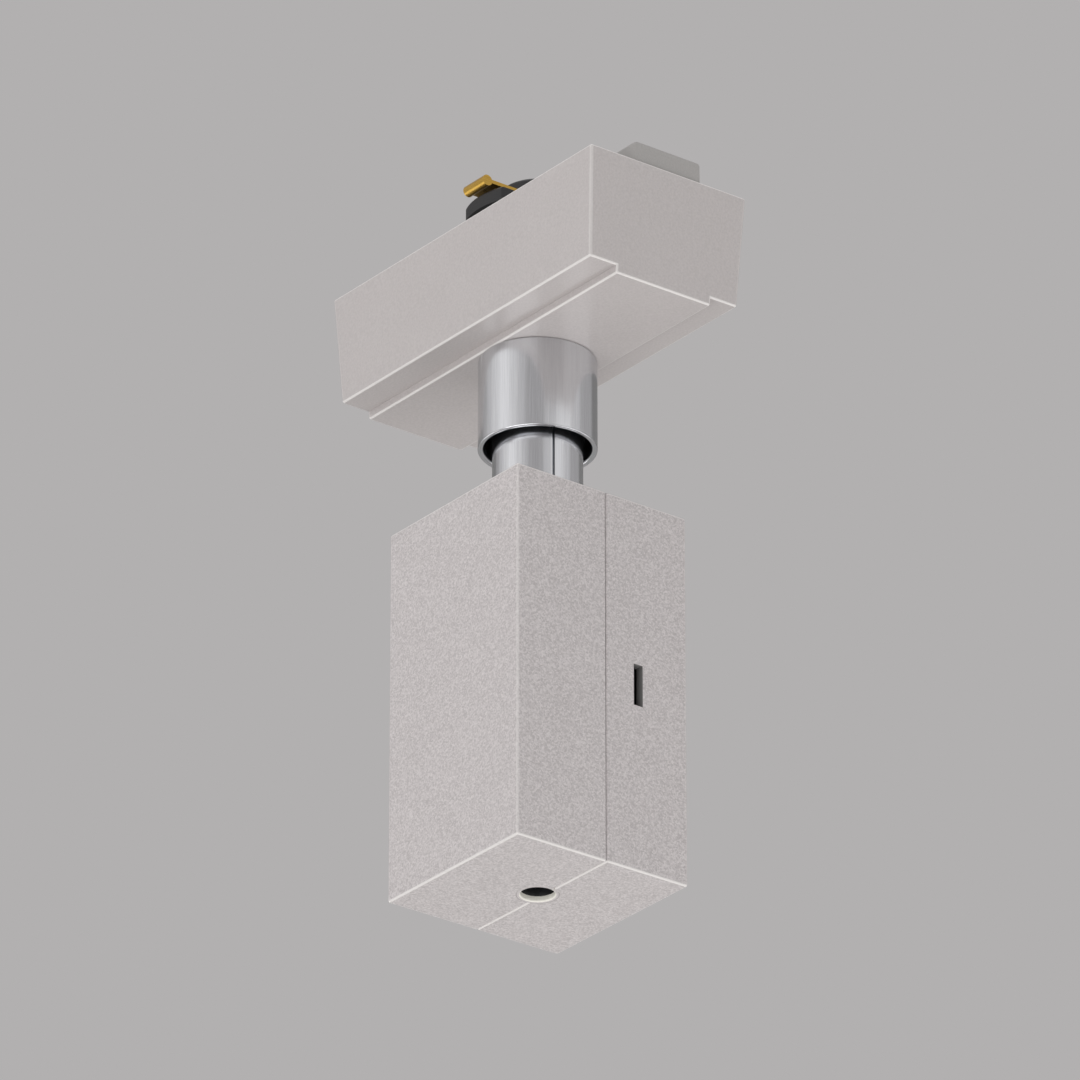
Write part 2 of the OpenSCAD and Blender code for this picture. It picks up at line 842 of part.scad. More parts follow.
// Body of the terminal block, with a passage for each pole
module terminal_block() {
    color(pale_moulding)
        difference() {
            translate([-block_w / 2, block_front, block_z])
                cube([block_w, block_d, block_h]);
            for (x = poles) {
                translate([x, -block_back, 0])
                    bore(tube_d + 2 * fit_play, block_z - cut, block_top + cut);
                for (z = clamp_levels)
                    translate([x, -block_back, z])
                        rotate([-90, 0, 0])
                            cylinder(d = clamp_screw_d + 4 * fit_play, h = block_d);
            }
            for (side = [-1, 1])
                translate([side * pole_pitch / 2 - groove_w / 2, block_rear - groove_depth, block_z - cut])
                    cube([groove_w, groove_depth + cut, block_h + 2 * cut]);
        }
}

// Brass tubes of the poles
module terminal_tubes() {
    color(brass)
        for (x = poles)
            translate([x, -block_back, block_z + tube_inset])
                difference() {
                    ring(tube_d, tube_bore_d, tube_h);
                    for (z = clamp_levels)
                        translate([0, 0, z - block_z - tube_inset])
                            rotate([-90, 0, 0])
                                cylinder(d = clamp_screw_d + 2 * fit_play, h = tube_d);
                }
}

// Slotted screws that press the conductors into the tubes
module terminal_screws() {
    from = -block_back + lead_d / 2 + fit_play;
    screw_l = block_rear - clamp_recess - from;
    color(zinc_plate)
        for (x = poles, z = clamp_levels)
            translate([x, from, z])
                rotate([-90, 0, 0])
                    difference() {
                        cylinder(d = clamp_screw_d, h = screw_l);
                        translate([0, 0, screw_l])
                            cube([clamp_screw_d + cut, drive_w, 2 * drive_d], center = true);
                    }
}

function unit(v) = v / norm(v);

// Direction of a route at one of its points
function heading(route, i) = unit(route[min(i + 1, len(route) - 1)] - route[max(i - 1, 0)]);

// Points around a route, square to it
function hoop(route, i) =
    let (along = heading(route, i), aside = unit(cross(along, [0, 1, 0])), across = cross(along, aside))
    [for (k = [0 : lead_sides - 1])
        route[i] + lead_d / 2 * (cos(360 * k / lead_sides) * aside + sin(360 * k / lead_sides) * across)];

// Smooth sideways step between two points, one above the other or beside it
function s_bend(a, b) =
    [for (i = [0 : lead_steps])
        let (s = i / lead_steps, k = s * s * (3 - 2 * s))
        [a.x + (b.x - a.x) * k, a.y + (b.y - a.y) * k, a.z + (b.z - a.z) * s]];

// Lead swept along a route
module lead(route) {
    last = len(route) - 1;
    points = [for (i = [0 : last]) each hoop(route, i)];
    sides = [for (i = [0 : last - 1], k = [0 : lead_sides - 1])
        let (next = (k + 1) % lead_sides, row = i * lead_sides, below = row + lead_sides)
        each [[row + k, row + next, below + next], [row + k, below + next, below + k]]];
    ends = [
        [for (k = [lead_sides - 1 : -1 : 0]) k],
        [for (k = [0 : lead_sides - 1]) last * lead_sides + k]
    ];
    polyhedron(points, concat(sides, ends));
}

// Lower part of every lead, from the stem's foot to its pole
function lead_fan(from, x) = concat(
    s_bend([from.x, from.y, stem_end - lead_d], [x, -block_back, block_top + lead_d]),
    [[x, -block_back, block_top - lead_entry]]);

module wire_live() {
    color(brown_lead)
        lead(concat([[0, lead_orbit, lead_top]], lead_fan([0, lead_orbit], -pole_pitch)));
}

module wire_neutral() {
    color(blue_lead)
        lead(concat([[0, -lead_orbit, lead_top]], lead_fan([0, -lead_orbit], 0)));
}

// The earth lead turns out over the stem, under the tab of the earth strip
module wire_earth() {
    middle = lead_orbit + lead_bend_r;
    turn = [for (a = [90 : 30 : 180])
        [middle + lead_bend_r * cos(a), 0, lead_level - lead_bend_r + lead_bend_r * sin(a)]];
    color(green_lead)
        lead(concat([[middle + lead_d, 0, lead_level]], turn, lead_fan([lead_orbit, 0], pole_pitch)));
}

// Pale bush in the floor of the box
module cord_bush() {
    color(pale_moulding)
        difference() {
            union() {
                bore(bush_d, box_end, box_end + bush_h);
                bore(bush_flange_d, box_end + box_wall, box_end + bush_h);
            }
            bore(bush_bore_d, box_end - cut, box_end + bush_h + cut);
        }
}

// Bar that grips the cord
module cord_clamp() {
    color(pale_moulding)
        difference() {
            translate([-bar_l / 2, bar_y, bar_z - bar_h / 2])
                cube([bar_l, bar_t, bar_h]);
            bore(grip_d, bar_z - bar_h, bar_z + bar_h);
            for (side = [-1, 1])
                translate([side * clamp_pitch / 2, 0, bar_z])
                    rotate([-90, 0, 0])
                        cylinder(d = screw_bore_d, h = bar_y + bar_t + cut);
        }
}

module cord_clamp_screws() {
    color(zinc_plate)
        for (side = [-1, 1])
            translate([side * clamp_pitch / 2, bar_y + bar_t, bar_z])
                rotate([-90, 0, 0])
                    difference() {
                        union() {
                            translate([0, 0, -bar_screw_l])
                                cylinder(d = screw_d, h = bar_screw_l + weld);
                            cylinder(d = screw_head_d, h = pan_h);
                        }
                        translate([0, 0, pan_h])
                            cube([screw_head_d + cut, drive_w, 2 * drive_d], center = true);
                    }
}

adapter_housing();
contact_carrier();
carrier_screws();
earth_contact();
lock_rotor();
lock_lever();
lever_clip();
contact_live();
contact_neutral();
stem_nipple();
stem_washer();
stem_nut();
collar();
collar_nut();
upper_washer();
swivel_tube();
neck_sleeve();
friction_washer();
stop_washer();
retaining_nut();
front_shell();
back_shell();
terminal_block();
terminal_tubes();
terminal_screws();
wire_live();
wire_neutral();
wire_earth();
cord_bush();
cord_clamp();
cord_clamp_screws();
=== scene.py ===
"""Looks of the track adapter: eased mouldings, plated collar and neck, lacquer, metals and studio light.

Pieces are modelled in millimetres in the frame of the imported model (+Z up, +X along the head, origin at the
centre of the head's top rim) and scaled to metres when they are dressed. What the boxes of the solids don't
give is named below.
"""
import json
from math import cos, radians, sin

import bmesh
import bpy
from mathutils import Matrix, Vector


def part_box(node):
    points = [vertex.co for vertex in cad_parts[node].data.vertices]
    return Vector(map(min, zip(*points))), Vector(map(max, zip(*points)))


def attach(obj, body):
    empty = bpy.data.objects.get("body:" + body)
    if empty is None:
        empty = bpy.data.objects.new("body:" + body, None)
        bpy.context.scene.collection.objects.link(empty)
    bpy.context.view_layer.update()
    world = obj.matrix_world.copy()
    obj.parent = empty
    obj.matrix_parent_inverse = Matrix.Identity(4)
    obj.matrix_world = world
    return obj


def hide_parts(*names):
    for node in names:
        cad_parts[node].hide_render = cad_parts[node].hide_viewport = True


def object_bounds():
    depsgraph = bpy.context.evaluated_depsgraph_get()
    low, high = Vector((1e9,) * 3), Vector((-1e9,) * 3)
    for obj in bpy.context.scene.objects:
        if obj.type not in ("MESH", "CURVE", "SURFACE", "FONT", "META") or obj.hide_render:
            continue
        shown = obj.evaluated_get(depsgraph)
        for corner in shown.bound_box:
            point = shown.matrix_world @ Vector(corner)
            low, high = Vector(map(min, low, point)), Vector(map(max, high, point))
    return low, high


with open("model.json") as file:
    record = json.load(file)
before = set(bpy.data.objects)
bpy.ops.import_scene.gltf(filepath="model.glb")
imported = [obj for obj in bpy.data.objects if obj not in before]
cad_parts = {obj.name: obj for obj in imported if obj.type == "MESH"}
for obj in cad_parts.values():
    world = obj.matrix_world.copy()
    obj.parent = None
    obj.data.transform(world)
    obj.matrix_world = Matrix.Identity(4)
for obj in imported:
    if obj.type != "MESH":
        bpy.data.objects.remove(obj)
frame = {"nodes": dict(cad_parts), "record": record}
cad_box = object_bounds()

MM = 0.001

# Shared clearances and overlaps
PLAY = 0.05
GAP = 0.3
WELD = 0.2
PAST = 1.0

# Sides of round forms, from the grip grooves to the rolled sleeve
GROOVE_SIDES = 24
SMALL_SIDES = 32
BORE_SIDES = 48
ROUND_SIDES = 64
WIDE_SIDES = 96
SMOOTH_SIDES = 128
SLEEVE_SIDES = 144

# Part of a direction that counts as facing along an axis, and part that counts as none
FACING = 0.9
ACROSS = 0.1

# Angles from which an edge is eased, is shaded sharp or is there at all, and points that count as one
EASED_FROM = radians(35)
SHARP_FROM = radians(40)
FLAT_BELOW = radians(0.5)
SAME_POINT = 0.001

# Share of the pale edge colour, a painted highlight, on the upright edges of the head and the box, and a
# width above every face's
UPRIGHT_SHARE = 0.45
ANY_WIDTH = 1000.0

# Head
END_TAPER = 1.4
SIDE_TAPER = 0.8
HEAD_WALL = 1.8
HEAD_FLOOR = 2.0
KEEL_W = 18.0
KEEL_H = 1.3
HEAD_CORNER_R = 0.4
HEAD_EDGE_R = 0.28
POST_R = 2.35
STEM_HOLE_R = 4.1
LEVER_WINDOW_HALF_L = 19.74

# Screws of the carrier and the cord clamp
SCREW_HEAD_R = 2.0
SCREW_HOLE_R = 1.05
SCREW_EDGE_R = 0.08
SINK_DEPTH = 1.0
SINK_FOOT_SHARE = 0.5

# Carrier and earth strip
TONGUE_HALF_W = 6.3
TONGUE_CHAMFER = 0.5
TONGUE_END_R = 0.2
PLATE_T = 2.2
PLATE_DROP = 0.3
PLATE_INSET = Vector((2.09, 2.01, 0))
PLATE_CORNER_R = 0.4
PLATE_EDGE_R = 0.15
EARTH_EDGE_R = 0.1

# Lock and contacts
CORE_R = 6.0
CORE_EDGE_R = 0.6
WING_HALF_W = 4.5
WING_T = 2.4
WING_EDGE_R = 0.5
SHAFT_R = 4.5
SHAFT_FLAT = 0.7
LEAD_BORE_R = 2.7
HUB_R = 7.5
HUB_EDGE_R = 0.3
LEVER_HALF_W = 3.0
LEVER_EDGE_R = 0.35
LEVER_TURN = radians(135)
GRIPS_EACH_WAY = 2
GRIP_PITCH = 1.5
GRIP_R = 0.45
GRIP_OUT = GRIP_R / 3
STRIP_T = 0.6
NOSE_R = 0.9
TAIL_HALF_W = 0.8
CONTACT_EDGE_R = 0.12

# Collar and neck
COLLAR_WALL = 0.9
COLLAR_END_T = 2.0
COLLAR_EDGE_R = 0.22
MOUTH_R = 0.5
SLEEVE_T = 0.6
SLEEVE_EDGE_R = 0.08
SLEEVE_SEAM_AT = radians(-17)

# Wiring box
BOX_WALL = 1.5
BOX_EDGE_R = 0.3
SEAM_Y = 0.7
SEAM_GAP = 0.05
SEAM_CHAMFER = 0.22
LIP_D = 1.0
DECK_T = 1.6
RIB_T = 1.4
STOP_W = 2.4
STOP_OVERLAP = 1.7
NECK_HOLE_R = 7.05
DECK_HOLE_R = 7.8
BUSH_HOLE_R = 3.25
BUSH_BORE_R = 2.6
BUSH_MOUTH_R = 0.3
SHADE_RING_R = 3.0
SHADE_RING_EDGE_R = 0.1
LIP_H = 0.9
GRIP_BORE_R = 2.4
TERMINALS = 3
LEDGE_W = 1.2
WINDOW_FROM_SEAM = 5.2
WINDOW_W = 1.7
WINDOW_H = 6.8
ARM_T = 1.2
ARM_ROOT = 6.0
ARM_EDGE_R = 0.1
BARB_D = 0.8


def node_box(node):
    """Lowest and highest corner of a solid, in millimetres."""
    low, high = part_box(node)
    return low / MM, high / MM


# Modelling steps

def only(piece):
    """Makes one piece the only selected one, in object mode."""
    if bpy.context.mode != "OBJECT":
        bpy.ops.object.mode_set(mode="OBJECT")
    bpy.ops.object.select_all(action="DESELECT")
    piece.select_set(True)
    bpy.context.view_layer.objects.active = piece


def placed(name):
    """Names the active piece and puts its place, turn and size in its mesh."""
    bpy.ops.object.transform_apply(location=True, rotation=True, scale=True)
    bpy.context.object.name = name
    return bpy.context.object


def block(name, corner, opposite, turn=0.0):
    """A cube between two opposite corners, turned about the axis of the stem."""
    low = Vector([min(pair) for pair in zip(corner, opposite)])
    high = Vector([max(pair) for pair in zip(corner, opposite)])
    at = (low + high) / 2
    turned = (at.x * cos(turn) - at.y * sin(turn), at.x * sin(turn) + at.y * cos(turn), at.z)
    bpy.ops.object.select_all(action="DESELECT")
    bpy.ops.mesh.primitive_cube_add(size=1, location=turned, rotation=(0, 0, turn), scale=high - low)
    return placed(name)


def drum(name, radius, foot, top, sides=ROUND_SIDES):
    """A cylinder between two points."""
    foot, top = Vector(foot), Vector(top)
    turn = (top - foot).to_track_quat("Z", "Y").to_euler()
    bpy.ops.object.select_all(action="DESELECT")
    bpy.ops.mesh.primitive_cylinder_add(vertices=sides, radius=radius, depth=(top - foot).length,
                                        location=(foot + top) / 2, rotation=turn)
    return placed(name)


def upright(name, radius, low, high, x=0, y=0, sides=ROUND_SIDES):
    """A standing cylinder between two levels, on the axis of the stem unless a place is given."""
    return drum(name, radius, (x, y, low), (x, y, high), sides)


def pick(piece, kind, test):
    """In edit mode, selects the edges or faces whose middle and direction pass the test."""
    only(piece)
    bpy.ops.object.mode_set(mode="EDIT")
    bpy.ops.mesh.select_mode(type=kind)
    bpy.ops.mesh.select_all(action="DESELECT")
    mesh = bmesh.from_edit_mesh(piece.data)
    for part in mesh.faces if kind == "FACE" else mesh.edges:
        corners = [v.co for v in part.verts]
        aim = part.normal if kind == "FACE" else (corners[1] - corners[0]).normalized()
        part.select_set(test(sum(corners, Vector()) / len(corners), aim))
    mesh.select_flush_mode()
    bmesh.update_edit_mesh(piece.data)


def slice_at(piece, point, facing, **settings):
    """Cuts through the whole piece along a plane."""
    pick(piece, "FACE", lambda at, out: True)
    bpy.ops.mesh.bisect(plane_co=point, plane_no=facing, **settings)


def slice_off(piece, point, facing):
    """Cuts off what lies past a plane and closes the cut."""
    slice_at(piece, point, facing, clear_outer=True, use_fill=True)


def draw_out(way):
    """Extrudes the picked faces."""
    bpy.ops.mesh.extrude_region_move(TRANSFORM_OT_translate={"value": way})


def mark(piece, name, width=ANY_WIDTH, share=1.0):
    """Marks the picked faces that are narrower than a width, with their share of that mark's colour."""
    mesh = bmesh.from_edit_mesh(piece.data)
    layer = mesh.faces.layers.float.get(name) or mesh.faces.layers.float.new(name)
    for face in mesh.faces:
        if face.select and face.calc_area() < width * max(e.calc_length() for e in face.edges):
            face[layer] = share
    bmesh.update_edit_mesh(piece.data)
    bpy.ops.object.mode_set(mode="OBJECT")


def round_off(piece, test, radius, steps=3, share=1.0):
    """Rounds the edges that pass the test and marks their new faces."""
    pick(piece, "EDGE", test)
    bpy.ops.mesh.bevel(offset=radius, segments=steps, affect="EDGES")
    mark(piece, "edge", 2 * radius, share)


def apply_step(piece, kind, **settings):
    """Adds a modifier with its settings and applies it."""
    step = piece.modifiers.new(kind.lower(), kind)
    for name, value in settings.items():
        setattr(step, name, value)
    only(piece)
    bpy.ops.object.modifier_apply(modifier=step.name)


def carve(piece, tool, operation="DIFFERENCE"):
    """Cuts a tool out of a piece and removes the tool."""
    apply_step(piece, "BOOLEAN", operation=operation, object=tool, solver="EXACT")
    bpy.data.objects.remove(tool)


def join(piece, tool):
    """Makes a tool a part of a piece."""
    carve(piece, tool, "UNION")


def ease(piece, radius):
    """Rounds every sharp edge of a small piece."""
    apply_step(piece, "BEVEL", width=radius, segments=2, limit_method="ANGLE", angle_limit=EASED_FROM)


def dress(piece, material, body, slot, *nodes):
    """Scales a finished piece to metres, shades it, and lets it ride and stand for its solids."""
    only(piece)
    piece.scale = (MM, MM, MM)
    placed(piece.name)
    bpy.ops.object.shade_smooth_by_angle(angle=SHARP_FROM)
    apply_step(piece, "WEIGHTED_NORMAL", keep_sharp=True)
    piece.data.materials.clear()
    piece.data.materials.append(material)
    if nodes:
        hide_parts(*nodes)
    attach(piece, body)


# Pieces of the head

HEAD_LOW, HEAD_HIGH = node_box("adapter_housing")
STRIP_Z = HEAD_LOW.z + KEEL_H
PLATE_Z = -PLATE_DROP - PLATE_T
SCREWS_LOW, SCREWS_HIGH = node_box("carrier_screws")
SCREW_PLACES = [(x * (SCREWS_HIGH.x - SCREW_HEAD_R), y * (SCREWS_HIGH.y - SCREW_HEAD_R))
                for x in (-1, 1) for y in (-1, 1)]


def head_half(level, inset):
    """Half length and half width of the head at a level, set in from its sloping sides."""
    half_l = HEAD_HIGH.x - inset - END_TAPER * level / STRIP_Z
    half_w = HEAD_HIGH.y - inset - SIDE_TAPER * level / STRIP_Z
    return half_l, half_w


def tapered_block(name, inset, low, high):
    """A block with the head's sloping sides, set in from them, between two levels."""
    foot_l, foot_w = head_half(low, inset)
    top_l, top_w = head_half(high, inset)
    piece = block(name, (-top_l, -top_w, low), (top_l, top_w, high))
    pick(piece, "FACE", lambda at, out: out.z < -FACING)
    bpy.ops.transform.resize(value=(foot_l / top_l, foot_w / top_w, 1), center_override=(0, 0, low))
    bpy.ops.object.mode_set(mode="OBJECT")
    return piece


def make_head(material):
    """Hollow tapered head with a keel along its underside."""
    head = tapered_block("head_moulding", 0, STRIP_Z, 0)

    # The keel is drawn out of the middle of the underside, with the slope of the ends
    for side in (-1, 1):
        slice_at(head, (0, side * KEEL_W / 2, 0), (0, 1, 0))
    pick(head, "FACE", lambda at, out: out.z < -FACING and abs(at.y) < KEEL_W / 4)
    draw_out((0, 0, -KEEL_H))
    strip_end = HEAD_HIGH.x - END_TAPER
    keel_end = HEAD_HIGH.x - END_TAPER * HEAD_LOW.z / STRIP_Z
    bpy.ops.transform.resize(value=(keel_end / strip_end, 1, 1), center_override=(0, 0, HEAD_LOW.z))
    bpy.ops.mesh.select_all(action="SELECT")
    bpy.ops.mesh.dissolve_limited(angle_limit=FLAT_BELOW)

    def corner(at, aim):
        return abs(aim.z) > FACING and abs(at.y) > KEEL_W / 2 + PAST

    def keel_root(at):
        return abs(at.z - STRIP_Z) < PLAY and abs(abs(at.y) - KEEL_W / 2) < PLAY

    # Rounded edges are painted pale as highlights, the upright corners only in part
    round_off(head, corner, HEAD_CORNER_R, steps=5, share=UPRIGHT_SHARE)
    round_off(head, lambda at, aim: at.z < STRIP_Z + PLAY and not keel_root(at), HEAD_EDGE_R)
    round_off(head, lambda at, aim: at.z > -PLAY, HEAD_EDGE_R)

    # Inside, screw posts, stem hole and lever window
    floor_z = STRIP_Z + HEAD_FLOOR
    carve(head, tapered_block("inside", HEAD_WALL, floor_z, PAST))
    for x, y in SCREW_PLACES:
        join(head, upright("post", POST_R, floor_z - WELD, PLATE_Z, x, y, SMALL_SIDES))
        carve(head, upright("screw hole", SCREW_HOLE_R, SCREWS_LOW.z - PAST, PLATE_Z + PAST,
                            x, y, SMALL_SIDES))
    carve(head, upright("stem hole", STEM_HOLE_R, HEAD_LOW.z - PAST, floor_z + PAST))
    lever_low, lever_high = node_box("lock_lever")
    carve(head, block("lever window", (-LEVER_WINDOW_HALF_L, 0, lever_low.z - GAP),
                      (LEVER_WINDOW_HALF_L, HEAD_HIGH.y + PAST, lever_high.z + GAP)))
    dress(head, material, "head", "grey_lacquer", "adapter_housing")


def make_carrier(material):
    """Plate that closes the head, with the tongue along it."""
    low, high = node_box("contact_carrier")
    half = HEAD_HIGH - PLATE_INSET
    carrier = block("carrier_moulding", (-half.x, -half.y, PLATE_Z), (half.x, half.y, -PLATE_DROP))
    round_off(carrier, lambda at, aim: abs(aim.z) > FACING, PLATE_CORNER_R, steps=4)
    round_off(carrier, lambda at, aim: at.z > -PLATE_DROP - PLAY, PLATE_EDGE_R, steps=2)

    # The tongue lies over the head's end walls and is rooted in the plate between them
    tongue = block("tongue", (low.x, -TONGUE_HALF_W, PLAY), (high.x, TONGUE_HALF_W, high.z))
    round_off(tongue, lambda at, aim: at.z > high.z - PLAY and abs(aim.x) > FACING, TONGUE_CHAMFER, steps=2)
    round_off(tongue, lambda at, aim: abs(at.x) > high.x - PLAY, TONGUE_END_R, steps=2)
    root_half_w = TONGUE_HALF_W - PLAY
    join(tongue, block("root", (WELD - half.x, -root_half_w, PLATE_Z / 2),
                       (half.x - WELD, root_half_w, high.z / 2)))
    join(carrier, tongue)

    # Bearing for the rotor, countersunk screw holes and the slot of the earth strip
    carve(carrier, upright("bearing", SHAFT_R + PLAY, PLATE_Z - PAST, high.z + PAST))
    for x, y in SCREW_PLACES:
        carve(carrier, upright("screw hole", SCREW_HOLE_R, PLATE_Z - PAST, 0, x, y, SMALL_SIDES))
        sink = upright("countersink", SCREW_HEAD_R + 2 * PLAY, -PLATE_DROP - SINK_DEPTH, -PLATE_DROP + PLAY,
                       x, y, SMALL_SIDES)
        pick(sink, "FACE", lambda at, out: out.z < -FACING)
        bpy.ops.transform.resize(value=(SINK_FOOT_SHARE, SINK_FOOT_SHARE, 1), center_override=(x, y, 0))
        carve(carrier, sink)
    earth_high = node_box("earth_contact")[1]
    carve(carrier, block("earth slot", (earth_high.x - STRIP_T - PLAY, -TONGUE_HALF_W - GAP, PLATE_Z - PAST),
                         (earth_high.x + PLAY, TONGUE_HALF_W + GAP, earth_high.z + PLAY)))
    dress(carrier, material, "head", "grey_moulding", "contact_carrier")


# Pieces of the lock

def make_rotor(material):
    """Wings and core that turn over the tongue, with the shaft through it."""
    low, high = node_box("lock_rotor")
    core_z = node_box("contact_carrier")[1].z + GAP / 2
    wing_top = core_z + WING_T

    def wing_end(at, aim):
        return at.z > wing_top - PLAY and at.to_2d().length > high.y - PLAY

    # The wings are a round plate cut down on two sides
    rotor = upright("lock_rotor_moulding", high.y, core_z, wing_top, sides=SMOOTH_SIDES)
    for side in (-1, 1):
        slice_off(rotor, (side * WING_HALF_W, 0, 0), (side, 0, 0))
    round_off(rotor, wing_end, WING_EDGE_R)
    core = upright("core", CORE_R, core_z + WELD, high.z, sides=WIDE_SIDES)
    round_off(core, lambda at, aim: at.z > high.z - PLAY, CORE_EDGE_R, steps=4)
    join(rotor, core)
    join(rotor, upright("lower core", CORE_R, core_z + PLAY / 2, wing_top - WELD, sides=WIDE_SIDES))
    join(rotor, upright("shaft", SHAFT_R, low.z, core_z + WELD))

    # Passages for the leads and the contact blades, and the groove and flat of the shaft
    blade_low, blade_high = node_box("contact_live")
    blade_top = blade_high.z - NOSE_R + STRIP_T / 2
    carve(rotor, upright("lead bore", LEAD_BORE_R, low.z - PAST, blade_top + PLAY, sides=BORE_SIDES))
    carve(rotor, block("blade slot", (blade_low.x - PLAY, low.y - PAST, blade_top - STRIP_T - PLAY),
                       (blade_high.x + PLAY, high.y + PAST, blade_top + PLAY)))
    clip_low, clip_high = node_box("lever_clip")
    ring = upright("clip groove", SHAFT_R + PAST, clip_low.z - PLAY, clip_high.z + PLAY)
    carve(ring, upright("groove bed", SHAFT_R - SHAFT_FLAT, clip_low.z - PAST, clip_high.z + PAST))
    carve(rotor, ring)
    carve(rotor, block("shaft flat", (SHAFT_R - SHAFT_FLAT, -2 * SHAFT_R, low.z - PAST),
                       (2 * SHAFT_R, 2 * SHAFT_R, PLATE_Z - GAP)))
    dress(rotor, material, "lock", "black_moulding", "lock_rotor")


def make_lever(material):
    """Hub on the shaft and the arm that turns it, with its end cut parallel to the head's side."""
    low, high = node_box("lock_lever")
    lever = block("lock_lever_moulding", (0, -LEVER_HALF_W, low.z), (2 * high.y, LEVER_HALF_W, high.z),
                  LEVER_TURN)
    slice_off(lever, (0, high.y, 0), (0, 1, 0))
    round_off(lever, lambda at, aim: at.length > HUB_R, LEVER_EDGE_R)

    # Grip grooves across the end that stands out of the head
    for i in range(-GRIPS_EACH_WAY, GRIPS_EACH_WAY + 1):
        x = i * GRIP_PITCH - high.y
        y = high.y + GRIP_OUT
        carve(lever, upright("grip groove", GRIP_R, low.z - PAST, high.z + PAST, x, y, GROOVE_SIDES))
    hub = upright("hub", HUB_R, low.z, high.z)
    round_off(hub, lambda at, aim: abs(aim.z) < FACING, HUB_EDGE_R, steps=2)
    join(lever, hub)
    bore = upright("shaft bore", SHAFT_R + PLAY, low.z - PAST, high.z + PAST)
    carve(bore, block("bore flat", (SHAFT_R - SHAFT_FLAT + PLAY, -2 * SHAFT_R, low.z - 2 * PAST),
                      (2 * SHAFT_R, 2 * SHAFT_R, high.z + 2 * PAST)))
    carve(lever, bore)
    dress(lever, material, "lock", "black_moulding", "lock_lever")


def make_contact(material, node, side):
    """A strip with a rolled nose and a bent tail; side is 1 towards +Y and -1 towards -Y."""
    low, high = node_box(node)
    inner, reach = sorted((abs(low.y), abs(high.y)))
    nose_y = side * (reach - NOSE_R)
    level = high.z - NOSE_R
    blade = block(node + "_strip", (low.x, side * inner, level - STRIP_T / 2),
                  (high.x, nose_y, level + STRIP_T / 2))
    join(blade, drum("nose", NOSE_R, (low.x, nose_y, level), (high.x, nose_y, level), BORE_SIDES))
    join(blade, block("tail", (-TAIL_HALF_W, side * inner, low.z),
                      (TAIL_HALF_W, side * (inner + STRIP_T), level)))
    ease(blade, CONTACT_EDGE_R)
    dress(blade, material, "lock", "brass", node)


# Pieces of the stem

def make_collar(material):
    """Turned cup with a rounded mouth."""
    low, high = node_box("collar")
    middle_r = high.x - COLLAR_WALL / 2

    def inner_rim(at, aim):
        return at.z < low.z + PLAY and at.to_2d().length < middle_r - PLAY

    def outer_rim(at, aim):
        return at.z < low.z + PLAY and at.to_2d().length > middle_r + PLAY

    collar = upright("collar_cup", high.x, low.z, high.z, sides=SMOOTH_SIDES)
    pick(collar, "FACE", lambda at, out: out.z < -FACING)
    bpy.ops.mesh.inset(thickness=COLLAR_WALL)
    draw_out((0, 0, high.z - low.z - COLLAR_END_T))
    round_off(collar, inner_rim, MOUTH_R, steps=5)
    round_off(collar, outer_rim, COLLAR_EDGE_R, steps=4)
    round_off(collar, lambda at, aim: abs(aim.z) < FACING and at.z > high.z - PLAY, COLLAR_EDGE_R)
    carve(collar, upright("stem hole", STEM_HOLE_R, low.z, high.z + PAST))
    dress(collar, material, "head", "bright_plate", "collar")


def make_neck(material):
    """Rolled sleeve with a butt seam."""
    low, high = node_box("neck_sleeve")
    sleeve = upright("neck_sleeve_rolled", -low.x, low.z, high.z, sides=SLEEVE_SIDES)
    pick(sleeve, "FACE", lambda at, out: abs(out.z) > FACING)
    bpy.ops.mesh.delete(type="FACE")

    # One strip of faces is taken out for the butt seam, which is then turned to where it faces
    half_step = radians(180 / SLEEVE_SIDES)
    pick(sleeve, "FACE", lambda at, out: at.x > 0 and 0 < at.y < -2 * low.x * sin(half_step))
    bpy.ops.mesh.delete(type="FACE")
    bpy.ops.object.mode_set(mode="OBJECT")
    sleeve.rotation_euler.z = SLEEVE_SEAM_AT - half_step
    placed(sleeve.name)
    apply_step(sleeve, "SOLIDIFY", thickness=SLEEVE_T, offset=-1)
    ease(sleeve, SLEEVE_EDGE_R)
    dress(sleeve, material, "box", "bright_plate", "neck_sleeve")


# Pieces of the wiring box

BOX_LOW, FRONT_HIGH = node_box("front_shell")
BOX_HIGH = Vector((FRONT_HIGH.x, node_box("back_shell")[1].y, FRONT_HIGH.z))
BOX_MIDDLE_Z = (BOX_LOW.z + BOX_HIGH.z) / 2
INNER_X = BOX_HIGH.x - BOX_WALL
FLOOR_TOP = BOX_LOW.z + BOX_WALL
ROOF_FOOT = BOX_HIGH.z - BOX_WALL
DECK_TOP = node_box("swivel_tube")[0].z - PLAY
DECK_FOOT = DECK_TOP - DECK_T


